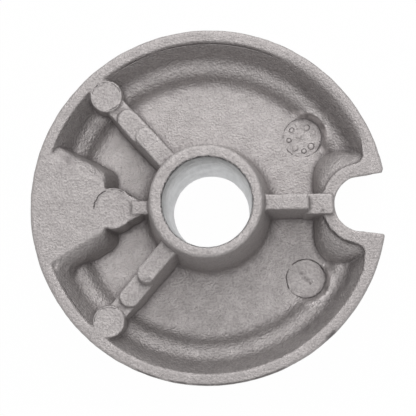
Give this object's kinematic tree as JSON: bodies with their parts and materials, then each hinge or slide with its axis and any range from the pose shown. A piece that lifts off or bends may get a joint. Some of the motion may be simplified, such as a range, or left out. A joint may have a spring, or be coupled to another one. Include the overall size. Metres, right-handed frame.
{
  "type": "gas hob burner crown",
  "caption": "Round cast burner crown with a flame port ring, a central gas throat hub, stepped webs, a solid land and an electrode notch in the rim.",
  "frame": {"origin": "on the axis of the gas throat, at the level of the crown face on which the casting lies", "axes": "+Z along the throat axis towards the hub's inlet, so the underside looks up; +X towards the electrode notch"},
  "size_m": [0.0893, 0.09, 0.0344],
  "materials": {
    "cast_aluminium": "shot-blasted die-cast, matt, warm light grey; smooth in the throat"
  },
  "bodies": {
    "root": {"burner_crown": "cast_aluminium"}
  },
  "joints": []
}
